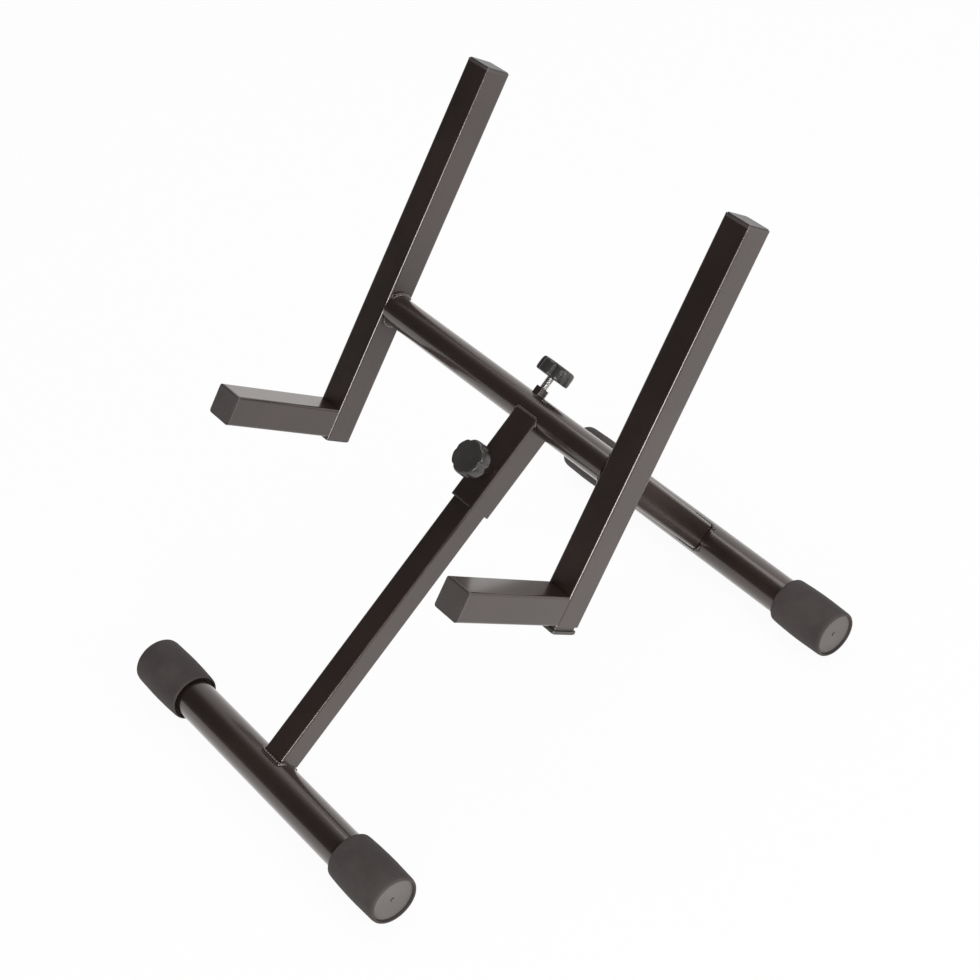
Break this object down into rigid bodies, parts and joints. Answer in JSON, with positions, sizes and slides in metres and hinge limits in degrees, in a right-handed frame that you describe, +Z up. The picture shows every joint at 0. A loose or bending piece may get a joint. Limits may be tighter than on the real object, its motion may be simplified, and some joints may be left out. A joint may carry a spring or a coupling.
{
  "type": "tilt-back amplifier stand",
  "caption": "Black tubular tilt-back floor stand with a padded-foot T-leg at front and back, an angled cradle with lips, and hand-knob clamps.",
  "frame": {"origin": "middle of the bounding box's footprint, on the floor", "axes": "+X to the stand's right, +Y to the back, +Z up"},
  "size_m": [0.363, 0.482, 0.4178],
  "materials": {
    "frame_black": "satin",
    "end_plug": "satin",
    "foot_rubber": "matte",
    "knob_plastic": "satin",
    "stud_zinc": "bright zinc"
  },
  "bodies": {
    "upper_frame": {"crossbar": "frame_black", "left_arm": "frame_black", "right_arm": "frame_black", "left_lip": "frame_black", "right_lip": "frame_black", "left_crossbar_weld": "frame_black", "right_crossbar_weld": "frame_black", "left_arm_top_plug": "end_plug", "right_arm_top_plug": "end_plug", "left_arm_bottom_plug": "end_plug", "right_arm_bottom_plug": "end_plug", "left_lip_plug": "end_plug", "right_lip_plug": "end_plug", "leg_sleeve": "frame_black", "lower_nut": "frame_black", "upper_nut": "frame_black"},
    "front_leg": {"front_leg_tube": "frame_black", "front_foot_tube": "frame_black", "front_foot_weld": "frame_black", "front_foot_cap_left": "foot_rubber", "front_foot_cap_right": "foot_rubber"},
    "rear_leg": {"rear_leg_tube": "frame_black", "rear_leg_spigot": "frame_black", "rear_foot_tube": "frame_black", "rear_foot_weld": "frame_black", "rear_foot_cap_left": "foot_rubber", "rear_foot_cap_right": "foot_rubber"},
    "lower_clamp": {"lower_clamp_stud": "stud_zinc", "lower_clamp_knob": "knob_plastic"},
    "upper_clamp": {"upper_clamp_stud": "stud_zinc", "upper_clamp_knob": "knob_plastic"}
  },
  "joints": [
    {"name": "front_leg_extend", "type": "slide", "parent": "upper_frame", "child": "front_leg", "axis": [0, -0.7706, -0.6373], "range_m": [-0.025, 0.02]},
    {"name": "rear_leg_swivel", "type": "hinge", "parent": "upper_frame", "child": "rear_leg", "pos_m": [0.0225, 0.07852, 0.18999], "axis": [0, 0.6419, -0.7668], "range_deg": [-90, 90]},
    {"name": "lower_clamp_turn", "type": "hinge", "parent": "upper_frame", "child": "lower_clamp", "pos_m": [0.0225, -0.01799, 0.21919], "axis": [0, -0.6373, 0.7706], "range_deg": [0, 720]},
    {"name": "upper_clamp_turn", "type": "hinge", "parent": "upper_frame", "child": "upper_clamp", "pos_m": [0.0118, 0.05534, 0.24884], "axis": [0, 0.7668, 0.6419], "range_deg": [0, 720]}
  ]
}
